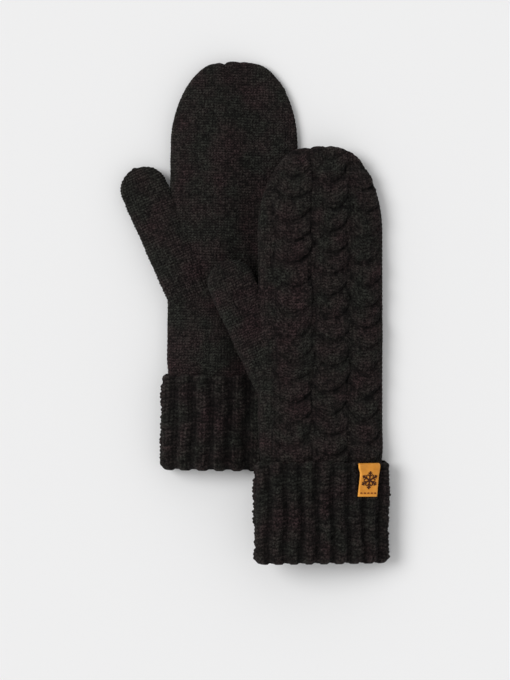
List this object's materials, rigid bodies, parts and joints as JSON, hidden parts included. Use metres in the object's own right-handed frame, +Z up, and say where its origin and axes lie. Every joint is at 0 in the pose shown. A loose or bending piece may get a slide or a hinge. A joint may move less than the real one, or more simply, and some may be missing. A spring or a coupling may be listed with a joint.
{
  "type": "mittens",
  "caption": "Pair of cable-knit mittens with turned-up ribbed cuffs and folded hide labels, one lying over the edge of the other.",
  "frame": {"origin": "middle of the pair's bounding box, on the surface that it lies on", "axes": "+Y from the wrists to the fingertips, +X from the left mitten to the right one, +Z up from the surface"},
  "size_m": [0.1827, 0.3415, 0.0353],
  "materials": {
    "palm_knit": "plain knit, charcoal black",
    "cable_knit": "cable knit, charcoal black",
    "rib_knit": "chunky rib, charcoal black",
    "linking_yarn": "twisted yarn, black",
    "label_hide": "smooth tan orange",
    "label_thread": "matt thread, brown"
  },
  "bodies": {
    "left_mitten": {"left_palm": "palm_knit", "left_cable_back": "cable_knit", "left_side_seam": "linking_yarn", "left_tip_gather": "linking_yarn", "left_thumb_gusset": "palm_knit", "left_wrist_band": "rib_knit", "left_wrist_seam": "linking_yarn"},
    "left_thumb_tube": {"left_thumb": "palm_knit", "left_thumb_seam": "linking_yarn", "left_thumb_gather": "linking_yarn"},
    "left_turn_up": {"left_cuff": "rib_knit", "left_label": "label_hide", "left_label_stitches": "label_thread"},
    "right_mitten": {"right_palm": "palm_knit", "right_cable_back": "cable_knit", "right_side_seam": "linking_yarn", "right_tip_gather": "linking_yarn", "right_thumb_gusset": "palm_knit", "right_wrist_band": "rib_knit", "right_wrist_seam": "linking_yarn"},
    "right_thumb_tube": {"right_thumb": "palm_knit", "right_thumb_seam": "linking_yarn", "right_thumb_gather": "linking_yarn"},
    "right_turn_up": {"right_cuff": "rib_knit", "right_label": "label_hide", "right_label_stitches": "label_thread"}
  },
  "joints": [
    {"name": "left_thumb_swing", "type": "hinge", "parent": "left_mitten", "child": "left_thumb_tube", "pos_m": [-0.04689, 0.01945, 0.0112], "axis": [0, 0, 1], "range_deg": [0, 30]},
    {"name": "left_cuff_turn_down", "type": "slide", "parent": "left_mitten", "child": "left_turn_up", "axis": [-0.0183, -0.9998, 0], "range_m": [0, 0.06]},
    {"name": "right_mitten_lift", "type": "slide", "parent": "left_mitten", "child": "right_mitten", "axis": [0, 0, 1], "range_m": [0, 0.1]},
    {"name": "right_thumb_swing", "type": "hinge", "parent": "right_mitten", "child": "right_thumb_tube", "pos_m": [0.01369, -0.0439, 0.01898], "axis": [0.2079, 0, 0.9781], "range_deg": [0, 30]},
    {"name": "right_cuff_turn_down", "type": "slide", "parent": "right_mitten", "child": "right_turn_up", "axis": [0, -1, 0], "range_m": [0, 0.065]}
  ]
}
